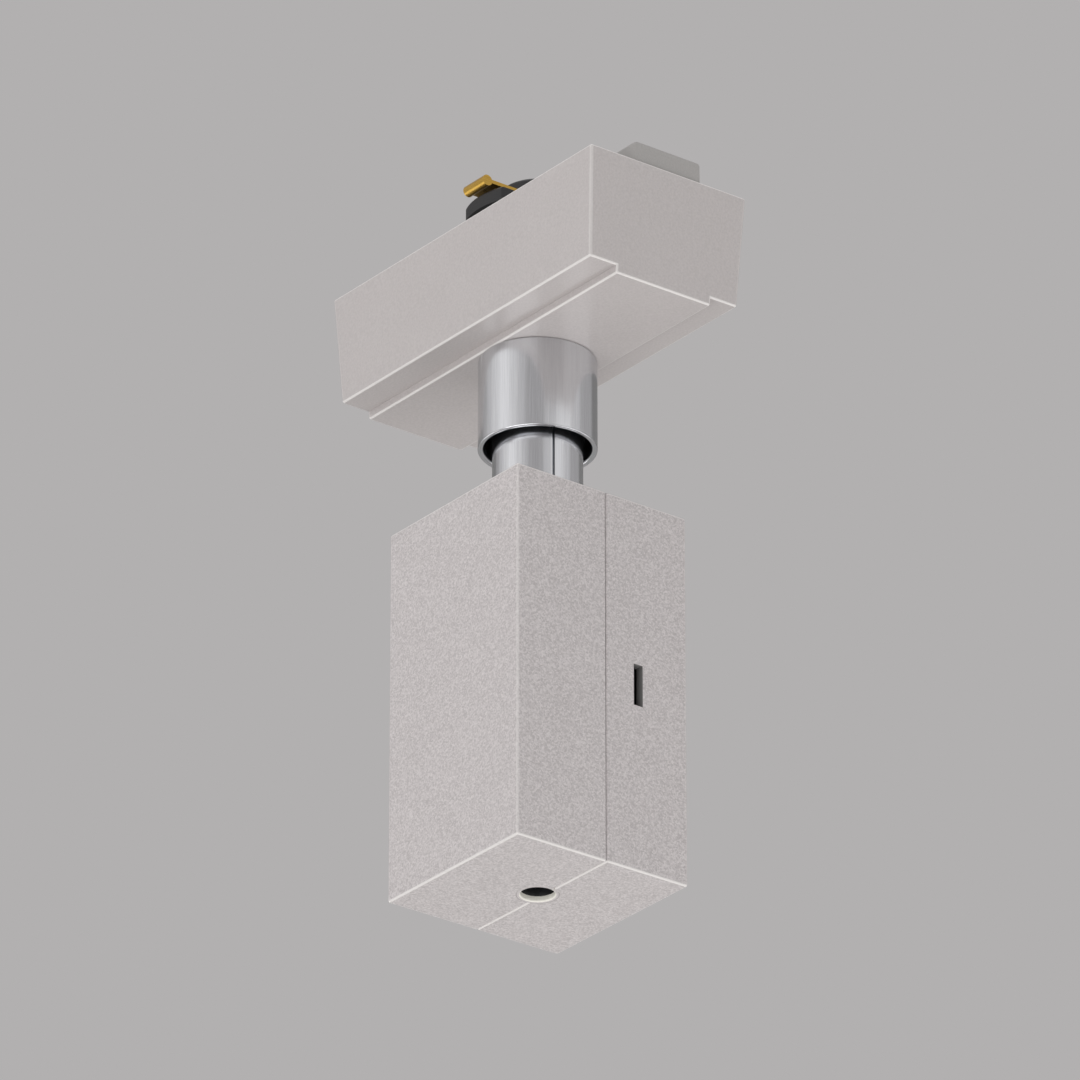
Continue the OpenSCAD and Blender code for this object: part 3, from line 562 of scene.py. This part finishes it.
def half_shell(name, seam, back):
    """Half of the box: a block from the seam to its back, with eased edges, hollowed from the seam."""
    shell = block(name, (BOX_LOW.x, seam, BOX_LOW.z), (BOX_HIGH.x, back, BOX_HIGH.z))
    round_off(shell, lambda at, aim: abs(at.y - seam) > PLAY, BOX_EDGE_R, steps=4)
    # The upright edges get part of the pale colour as a painted highlight
    pick(shell, "FACE", lambda at, out: abs(out.z) < ACROSS and min(abs(out.x), abs(out.y)) > ACROSS)
    mark(shell, "edge", 2 * BOX_EDGE_R, UPRIGHT_SHARE)
    pick(shell, "EDGE", lambda at, aim: abs(at.y - seam) < PLAY)
    bpy.ops.mesh.bevel(offset=SEAM_CHAMFER, segments=1, affect="EDGES")

    # The seam's chamfers are painted pale as a highlight on the underside only
    under_z = BOX_LOW.z + SEAM_CHAMFER
    pick(shell, "FACE", lambda at, out: abs(at.y - seam) < SEAM_CHAMFER and at.z < under_z)
    mark(shell, "edge", 2 * SEAM_CHAMFER)
    way = 1 if seam > back else -1
    carve(shell, block("hollow", (-INNER_X, seam + way * PAST, FLOOR_TOP),
                       (INNER_X, back + way * BOX_WALL, ROOF_FOOT)))
    return shell


def flange_seat(shell, seam, wall):
    """Deck and ribs that carry the flange of the turning tube."""
    join(shell, block("deck", (-INNER_X - WELD, seam, DECK_FOOT), (INNER_X + WELD, wall, DECK_TOP)))
    rib_x = node_box("swivel_tube")[1].x + PLAY
    for x in (-rib_x - RIB_T, rib_x):
        join(shell, block("rib", (x, seam, DECK_TOP - WELD), (x + RIB_T, wall, ROOF_FOOT + WELD)))


def block_ribs(shell, face, wall):
    """Ribs that hold the terminal block between the shells."""
    low, high = node_box("terminal_block")
    pitch = (high.x - low.x) / TERMINALS
    for x in (-pitch / 2, pitch / 2):
        join(shell, block("rib", (x - RIB_T / 2, face, low.z), (x + RIB_T / 2, wall, high.z)))


def box_passages(shell):
    """Holes for the neck, the washers and the bush."""
    carve(shell, upright("neck hole", NECK_HOLE_R, ROOF_FOOT - WELD, BOX_HIGH.z + PAST, sides=WIDE_SIDES))
    carve(shell, upright("deck hole", DECK_HOLE_R, DECK_FOOT - PAST, DECK_TOP + PLAY / 2, sides=WIDE_SIDES))
    carve(shell, upright("bush hole", BUSH_HOLE_R, BOX_LOW.z - PAST, FLOOR_TOP + PAST))


def mark_inside(shell):
    """Marks what lies below the outer skin, where no lacquer reaches and the bare moulding is painted darker
    as shade.
    """
    middle = (BOX_LOW + BOX_HIGH) / 2
    skin = BOX_HIGH - middle - Vector((BOX_EDGE_R, BOX_EDGE_R, BOX_EDGE_R))
    pick(shell, "FACE", lambda at, out: all(abs(a - m) < s for a, m, s in zip(at, middle, skin)))
    mark(shell, "inside")


def make_front_shell(material):
    """Front half of the box, with the lip at its seam and what holds the parts inside."""
    wall = BOX_LOW.y + BOX_WALL - WELD
    shell = half_shell("front_shell_moulding", SEAM_Y, BOX_LOW.y)
    inset = BOX_WALL / 2 + PLAY
    lip = block("seam lip", (BOX_LOW.x + inset, SEAM_Y - WELD, BOX_LOW.z + inset),
                (BOX_HIGH.x - inset, SEAM_Y + LIP_D, BOX_HIGH.z - inset))
    carve(lip, block("lip inside", (-INNER_X, SEAM_Y - PAST, FLOOR_TOP),
                     (INNER_X, SEAM_Y + 2 * PAST, ROOF_FOOT)))
    join(shell, lip)
    flange_seat(shell, SEAM_Y, wall)

    # Rib that the tab of the stop washer meets
    stop_low, stop_high = node_box("stop_washer")
    join(shell, block("stop rib", (-STOP_W / 2, wall, stop_low.z - WELD),
                      (STOP_W / 2, STOP_OVERLAP - stop_high.y, DECK_FOOT + WELD)))

    # Ribs and ledges of the terminal block, posts and saddle of the cord clamp
    block_low, block_high = node_box("terminal_block")
    block_ribs(shell, block_low.y, wall)
    clamp_low, clamp_high = node_box("cord_clamp")
    clamp_z = (clamp_low.z + clamp_high.z) / 2
    screws_low, screws_high = node_box("cord_clamp_screws")
    for side in (-1, 1):
        join(shell, block("ledge", (side * (block_high.x - LEDGE_W), wall, block_low.z - RIB_T),
                          (side * (block_high.x + WELD), block_high.y, block_low.z)))
        x = side * (screws_high.x - SCREW_HEAD_R)
        join(shell, drum("clamp post", POST_R, (x, wall, clamp_z), (x, clamp_low.y, clamp_z), SMALL_SIDES))
        carve(shell, drum("screw hole", SCREW_HOLE_R, (x, screws_low.y - GAP, clamp_z),
                          (x, clamp_low.y + PAST, clamp_z), SMALL_SIDES))
    join(shell, block("saddle", (-2 * GRIP_BORE_R, wall, clamp_z - RIB_T),
                      (2 * GRIP_BORE_R, -clamp_low.y, clamp_z + RIB_T)))
    carve(shell, upright("grip", GRIP_BORE_R, clamp_low.z - PAST, clamp_high.z + PAST, sides=BORE_SIDES))
    box_passages(shell)
    mark_inside(shell)
    dress(shell, material, "box", "grey_lacquer", "front_shell")


def make_back_shell(material):
    """Back half of the box, with the rebate at its seam and the latch windows."""
    seam = SEAM_Y + SEAM_GAP
    wall = BOX_HIGH.y - BOX_WALL + WELD
    shell = half_shell("back_shell_moulding", seam, BOX_HIGH.y)
    flange_seat(shell, seam, wall)
    block_ribs(shell, node_box("terminal_block")[1].y, wall)
    box_passages(shell)
    half = BOX_WALL / 2
    carve(shell, block("seam rebate", (BOX_LOW.x + half, SEAM_Y - PAST, BOX_LOW.z + half),
                       (BOX_HIGH.x - half, SEAM_Y + LIP_D + SEAM_GAP, BOX_HIGH.z - half)))
    window_y = SEAM_Y + WINDOW_FROM_SEAM
    carve(shell, block("latch windows", (BOX_LOW.x - PAST, window_y, BOX_MIDDLE_Z - WINDOW_H / 2),
                       (BOX_HIGH.x + PAST, window_y + WINDOW_W, BOX_MIDDLE_Z + WINDOW_H / 2)))
    mark_inside(shell)
    dress(shell, material, "box", "grey_lacquer", "back_shell")


def make_latch_arms(material):
    """Bare arms of the front shell, with the barbs that catch behind the windows, coloured black as painted
    shade there.
    """
    half_h = WINDOW_H / 2 - GAP
    low_z, high_z = BOX_MIDDLE_Z - half_h, BOX_MIDDLE_Z + half_h
    root_y = SEAM_Y - ARM_ROOT
    barb_y = SEAM_Y + WINDOW_FROM_SEAM + PLAY
    tip_y = SEAM_Y + WINDOW_FROM_SEAM + WINDOW_W - GAP
    for side, name in ((-1, "latch_arm_left"), (1, "latch_arm_right")):
        inner, outer = side * (INNER_X - ARM_T), side * (INNER_X + BARB_D)
        arm = block(name, (side * (INNER_X - PLAY - ARM_T), root_y, low_z),
                    (side * (INNER_X - PLAY), tip_y, high_z))
        barb = block("barb", (inner, barb_y, low_z), (outer, tip_y, high_z))
        slope = (side * (tip_y - barb_y - BARB_D / 2), BARB_D, 0)
        slice_off(barb, (outer, barb_y + BARB_D / 2, 0), slope)
        join(arm, barb)
        join(arm, block("root", (inner, root_y, low_z), (side * (INNER_X + WELD), SEAM_Y - WELD, high_z)))
        ease(arm, ARM_EDGE_R)
        dress(arm, material, "box", "black_moulding")


def make_bush(material):
    """Flanged bush in the box's floor, with a rounded mouth."""
    low, high = node_box("cord_bush")
    bush = upright("cord_bush_moulding", high.x, low.z + BOX_WALL, high.z)
    pick(bush, "FACE", lambda at, out: out.z < -FACING)
    bpy.ops.mesh.inset(thickness=high.x - BUSH_HOLE_R + PLAY)
    draw_out((0, 0, -BOX_WALL))
    bpy.ops.object.mode_set(mode="OBJECT")
    carve(bush, upright("bush bore", BUSH_BORE_R, low.z - PAST, high.z + PAST))
    # Seat for the black ring that stands in for the shade deep in the bore
    carve(bush, upright("shade ring seat", SHADE_RING_R + PLAY / 2, low.z + LIP_H, high.z + PAST))
    pick(bush, "EDGE", lambda at, aim: at.z < low.z + PLAY and at.to_2d().length < BUSH_BORE_R + PLAY)
    bpy.ops.mesh.bevel(offset=BUSH_MOUTH_R, segments=5, affect="EDGES")

    # Only the flat rim and the start of its rounding are lacquered over with the box
    pick(bush, "FACE", lambda at, out: at.z < low.z + PLAY and out.z < -FACING)
    mark(bush, "edge")
    dress(bush, material, "box", "pale_moulding", "cord_bush")


def make_bore_shade_ring(material):
    """Black ring in the bush, above its lip, put in as painted shade deep in the bore."""
    low, high = node_box("cord_bush")
    seal = upright("bore_shade_ring", SHADE_RING_R, low.z + LIP_H + PLAY, high.z)
    carve(seal, upright("shade ring bore", BUSH_BORE_R, low.z, high.z + PAST))
    ease(seal, SHADE_RING_EDGE_R)
    dress(seal, material, "box", "black_moulding")


# Small pieces made from their solids

def make_eased_copy(material, node, body, slot, radius):
    """A copy of a small solid, with its triangles merged and its edges eased."""
    piece = bpy.data.objects.new(node + "_eased", frame["nodes"][node].data.copy())
    bpy.context.scene.collection.objects.link(piece)
    only(piece)
    piece.scale = (1 / MM, 1 / MM, 1 / MM)
    placed(piece.name)
    pick(piece, "FACE", lambda at, out: True)
    bpy.ops.mesh.remove_doubles(threshold=SAME_POINT)
    bpy.ops.mesh.dissolve_limited(angle_limit=FLAT_BELOW)
    bpy.ops.object.mode_set(mode="OBJECT")
    ease(piece, radius)
    dress(piece, material, body, slot, node)


# Materials

# Width of a cloud in grains, detail of the grains and clouds, and the range that their noise mostly keeps to
CLOUD = 24.0
GRAIN_DETAIL = 3.0
CLOUD_DETAIL = 2.0
NOISE_LOW = 0.32
NOISE_HIGH = 0.68


def linear(code):
    """Linear colour of an sRGB hex value."""
    levels = [int(code[i:i + 2], 16) / 255 for i in (1, 3, 5)]
    return [v / 12.92 if v <= 0.04045 else ((v + 0.055) / 1.055) ** 2.4 for v in levels] + [1.0]


def add(tree, kind, inputs, **settings):
    """Adds a node with its settings, values and links."""
    node = tree.nodes.new(kind)
    for name, value in settings.items():
        setattr(node, name, value)
    for name, value in inputs.items():
        if isinstance(value, bpy.types.NodeSocket):
            tree.links.new(value, node.inputs[name])
        else:
            node.inputs[name].default_value = value
    return node


def surface(name, dark, light, rough, grain, relief, stretch=(1, 1, 1), flake=0.0, cloud=0.25, edge=None,
            inside=None, **values):
    """A material whose colour, gloss and relief follow one grain with flakes and broad clouds in it.

    dark and light are the ends of its colour and rough those of its roughness. grain is the width and relief
    the height of a grain in millimetres, stretch draws the grains out, and flake and cloud are shares of the
    grain. edge and inside are the colours of faces marked so, and values go to the shader's sockets. A mix
    node takes its share at 0, numbers at 2 and 3, and colours at 6 and 7.
    """
    material = bpy.data.materials.new(name)
    material.use_nodes = True
    tree = material.node_tree
    place = add(tree, "ShaderNodeTexCoord", {}).outputs["Object"]
    size = [1 / (grain * MM * s) for s in stretch]
    spread = add(tree, "ShaderNodeMapping", {"Vector": place, "Scale": size}).outputs["Vector"]
    grains = {"Vector": spread, "Scale": 1.0, "Detail": GRAIN_DETAIL}
    fine = add(tree, "ShaderNodeTexNoise", grains).outputs["Fac"]
    if flake:
        cells = add(tree, "ShaderNodeTexVoronoi", {"Vector": spread, "Scale": 1.0}).outputs["Color"]
        fine = add(tree, "ShaderNodeMix", {0: flake, 2: fine, 3: cells}).outputs[0]
    clouds = {"Vector": spread, "Scale": 1 / CLOUD, "Detail": CLOUD_DETAIL}
    broad = add(tree, "ShaderNodeTexNoise", clouds).outputs["Fac"]
    both = add(tree, "ShaderNodeMix", {0: cloud, 2: fine, 3: broad}).outputs[0]
    noise = {"Value": both, "From Min": NOISE_LOW, "From Max": NOISE_HIGH}
    level = add(tree, "ShaderNodeMapRange", noise).outputs["Result"]
    tones = {0: level, 6: linear(dark), 7: linear(light)}
    colour = add(tree, "ShaderNodeMix", tones, data_type="RGBA").outputs[2]
    for marked, code in (("edge", edge), ("inside", inside)):
        if code:
            share = add(tree, "ShaderNodeAttribute", {}, attribute_name=marked).outputs["Fac"]
            tones = {0: share, 6: colour, 7: linear(code)}
            colour = add(tree, "ShaderNodeMix", tones, data_type="RGBA").outputs[2]
    gloss = add(tree, "ShaderNodeMapRange", {"Value": level, "To Min": rough[0], "To Max": rough[1]})
    bump = add(tree, "ShaderNodeBump", {"Height": level, "Distance": relief * MM})
    shader = tree.nodes["Principled BSDF"]
    tree.links.new(colour, shader.inputs["Base Color"])
    tree.links.new(gloss.outputs["Result"], shader.inputs["Roughness"])
    tree.links.new(bump.outputs["Normal"], shader.inputs["Normal"])
    for socket, value in values.items():
        shader.inputs[socket.replace("_", " ")].default_value = value
    return material


# Moulded ABS under a warm grey metallic lacquer: a satin skin, even on the head and sandy on the box.
# The real flakes are about 0.1 mm, too fine to show, so they are drawn several times coarser. The rounded
# edges are painted pale as highlights, and the bare moulding inside is painted darker as shade.
head_lacquer = surface("head_lacquer_on_abs", "#bab4b3", "#c6c0bf", rough=(0.44, 0.52), grain=0.35,
                       relief=0.002, cloud=0.12, edge="#dedad8", Metallic=0.12, Coat_Weight=0.4,
                       Coat_Roughness=0.16)
box_lacquer = surface("box_lacquer_on_abs", "#b6b0b0", "#d6d0d0", rough=(0.42, 0.56), grain=0.24,
                      relief=0.006, flake=0.5, cloud=0.06, edge="#dedad8", inside="#8a8887", Metallic=0.12,
                      Coat_Weight=0.4, Coat_Roughness=0.16)
# Bare ABS from a spark-eroded mould: dull, with a fine even tooth
grey_abs = surface("grey_abs", "#a3a09e", "#adaaa8", rough=(0.5, 0.62), grain=0.3, relief=0.006)
# Black polyamide with glass fibre: nearly black, with paler fibres showing along the flow
black_polyamide = surface("black_polyamide", "#19191b", "#29292b", rough=(0.38, 0.58), grain=0.25,
                          relief=0.005, stretch=(4, 1, 1))
# Natural polyamide: milky ivory with a soft gloss; the rim of the bush is lacquered over with the box
natural_polyamide = surface("natural_polyamide", "#e4e1d8", "#f0ede5", rough=(0.34, 0.46), grain=0.8,
                            relief=0.002, edge="#c4bebe")
# Polished chrome over nickel: a cool soft mirror, with fine polishing lines along the tube
polished_chrome = surface("polished_chrome", "#cfd0d3", "#dcdde0", rough=(0.16, 0.22), grain=0.12,
                          relief=0.0003, stretch=(1, 1, 60), Metallic=1.0)
# Zinc-plated steel: dull bluish grey with a fine spangle
zinc_plate = surface("zinc_plated_steel", "#989da4", "#b4b8bc", rough=(0.3, 0.46), grain=0.5, relief=0.002,
                     Metallic=1.0)
# Rolled brass and copper alloy strip: warm, with rolling lines along the strip and a first tarnish
brass_strip = surface("rolled_brass", "#b8913f", "#d2ad59", rough=(0.24, 0.4), grain=0.15, relief=0.0008,
                      stretch=(1, 30, 1), Metallic=1.0)
copper_strip = surface("rolled_copper", "#a96c43", "#c58a5f", rough=(0.24, 0.4), grain=0.15, relief=0.0008,
                       stretch=(1, 1, 30), Metallic=1.0)
# Soft PVC insulation: even colour with a slight sheen
brown_pvc = surface("brown_pvc", "#643a22", "#70452b", rough=(0.36, 0.44), grain=0.6, relief=0.002)
blue_pvc = surface("blue_pvc", "#2b589d", "#3366b0", rough=(0.36, 0.44), grain=0.6, relief=0.002)
green_pvc = surface("green_pvc", "#4a8936", "#55963f", rough=(0.36, 0.44), grain=0.6, relief=0.002)

SLOT_MATERIALS = {
    "grey_lacquer": box_lacquer,
    "grey_moulding": grey_abs,
    "black_moulding": black_polyamide,
    "pale_moulding": natural_polyamide,
    "bright_plate": polished_chrome,
    "zinc_plate": zinc_plate,
    "brass": brass_strip,
    "copper": copper_strip,
    "brown_lead": brown_pvc,
    "blue_lead": blue_pvc,
    "green_lead": green_pvc,
}
for subpart in frame["record"]["subparts"]:
    solid = frame["nodes"][subpart["node"]]
    solid.data.materials.clear()
    solid.data.materials.append(SLOT_MATERIALS[subpart["material_slot"]])

make_head(head_lacquer)
make_carrier(grey_abs)
make_eased_copy(zinc_plate, "carrier_screws", "head", "zinc_plate", SCREW_EDGE_R)
make_eased_copy(copper_strip, "earth_contact", "head", "copper", EARTH_EDGE_R)
make_rotor(black_polyamide)
make_lever(black_polyamide)
make_contact(brass_strip, "contact_live", 1)
make_contact(brass_strip, "contact_neutral", -1)
make_collar(polished_chrome)
make_neck(polished_chrome)
make_front_shell(box_lacquer)
make_back_shell(box_lacquer)
make_latch_arms(black_polyamide)
make_bush(natural_polyamide)
make_bore_shade_ring(black_polyamide)


# Studio, in metres, degrees and watts; azimuth and elevation are as seen from the object

MIDDLE = (cad_box[0] + cad_box[1]) / 2
CAMERA_AZ = 52.55
CAMERA_EL = -25.77
CAMERA_DISTANCE = 1.54
CAMERA_LENS = 338
LAMP_DISTANCE = 1.2
WINDOW_EL = 27
WINDOW_STEP = 0.01
CARD_SIZE = 0.8
CARD_EL = 20
CARD_DISTANCE = 1.0
FLOOR_Z = -1.8
FLOOR_SIZE = 30
ROOM_LIGHT = 0.42


def outward(az, el):
    """Direction from the object; azimuth 0 is towards -Y and 90 towards +X."""
    az, el = radians(az), radians(el)
    return Vector((sin(az) * cos(el), -cos(az) * cos(el), sin(el)))


def set_up(name, data, az, el, distance):
    """Puts a lamp or camera at a distance, facing the object."""
    way = outward(az, el)
    piece = bpy.data.objects.new(name, data)
    piece.location = MIDDLE + way * distance
    piece.rotation_euler = way.to_track_quat("Z", "Y").to_euler()
    bpy.context.scene.collection.objects.link(piece)
    return piece


def soft_lamp(name, az, el, size, power, distance=LAMP_DISTANCE):
    """A square lamp that the camera doesn't see."""
    light = bpy.data.lights.new(name, "AREA")
    light.size = size
    light.energy = power
    set_up(name, light, az, el, distance).visible_camera = False


def soft_window(name, az, sizes, glow):
    """A stack of lamps of growing size, so that the plated metal shows it with soft edges.

    glow is the power of each lamp for a square metre.
    """
    for i, size in enumerate(sizes):
        soft_lamp(name, az, WINDOW_EL, size, glow * size * size, LAMP_DISTANCE + WINDOW_STEP * i)


camera = bpy.data.cameras.new("camera")
camera.lens = CAMERA_LENS
bpy.context.scene.camera = set_up("camera", camera, CAMERA_AZ, CAMERA_EL, CAMERA_DISTANCE)

soft_window("left_window", az=-17, sizes=(0.5, 1.2, 2.0), glow=0.53)
soft_window("right_window", az=104, sizes=(0.6, 1.6), glow=0.66)

# Low lamps for the ends and the undersides, and one from above for the carrier and the lock
soft_lamp("low_left", az=-57, el=-33, size=0.8, power=2.4)
soft_lamp("low_right", az=140, el=-54, size=1.45, power=8.6)
soft_lamp("low_front", az=19, el=-25, size=1.4, power=8.9, distance=1.3)
soft_lamp("top", az=52, el=85, size=1.2, power=5.0)

# Matt grey card: even and dull, with a slight tooth
matt_card = surface("matt_grey_card", "#868584", "#8a8988", rough=(0.7, 0.8), grain=3, relief=0.005,
                    cloud=0.0)
# Matt pale paint: even and dull, so that the floor shows little but soft shade
matt_paint = surface("matt_pale_paint", "#e8e7e5", "#ebeae8", rough=(0.7, 0.8), grain=3, relief=0.005,
                     cloud=0.0)


def grey_card(name, az):
    """A card that only the plated metal reflects, for the darker edges of the collar and the neck."""
    bpy.ops.object.select_all(action="DESELECT")
    way = outward(az, CARD_EL)
    turn = way.to_track_quat("Z", "Y").to_euler()
    bpy.ops.mesh.primitive_plane_add(size=CARD_SIZE, location=MIDDLE + way * CARD_DISTANCE, rotation=turn)
    card = placed(name)
    card.data.materials.append(matt_card)
    card.visible_camera = False
    card.visible_diffuse = False
    card.visible_shadow = False


grey_card("grey_card_left", az=-102)
grey_card("grey_card_right", az=-155)

bpy.ops.object.select_all(action="DESELECT")
bpy.ops.mesh.primitive_plane_add(size=FLOOR_SIZE, location=(0, 0, FLOOR_Z))
floor = placed("floor")
floor.data.materials.append(matt_paint)

# The room lights the object with white, while the camera and the plated metal see a grey backdrop
world = bpy.data.worlds.new("studio")
world.use_nodes = True
bpy.context.scene.world = world
tree = world.node_tree
tree.nodes.clear()
ray = add(tree, "ShaderNodeLightPath", {}).outputs
seen = add(tree, "ShaderNodeMath", {0: ray["Is Camera Ray"], 1: ray["Is Glossy Ray"]}, operation="MAXIMUM")
seen = add(tree, "ShaderNodeMath", {0: seen.outputs[0], 1: ray["Is Transmission Ray"]}, operation="MAXIMUM")
room = add(tree, "ShaderNodeBackground", {"Color": linear("#ffffff"), "Strength": ROOM_LIGHT})
backdrop = add(tree, "ShaderNodeBackground", {"Color": linear("#b2b0b0"), "Strength": 1.0})
light = add(tree, "ShaderNodeMixShader", {0: seen.outputs[0], 1: room.outputs[0], 2: backdrop.outputs[0]})
add(tree, "ShaderNodeOutputWorld", {"Surface": light.outputs[0]})

bpy.context.scene.view_settings.view_transform = "Standard"
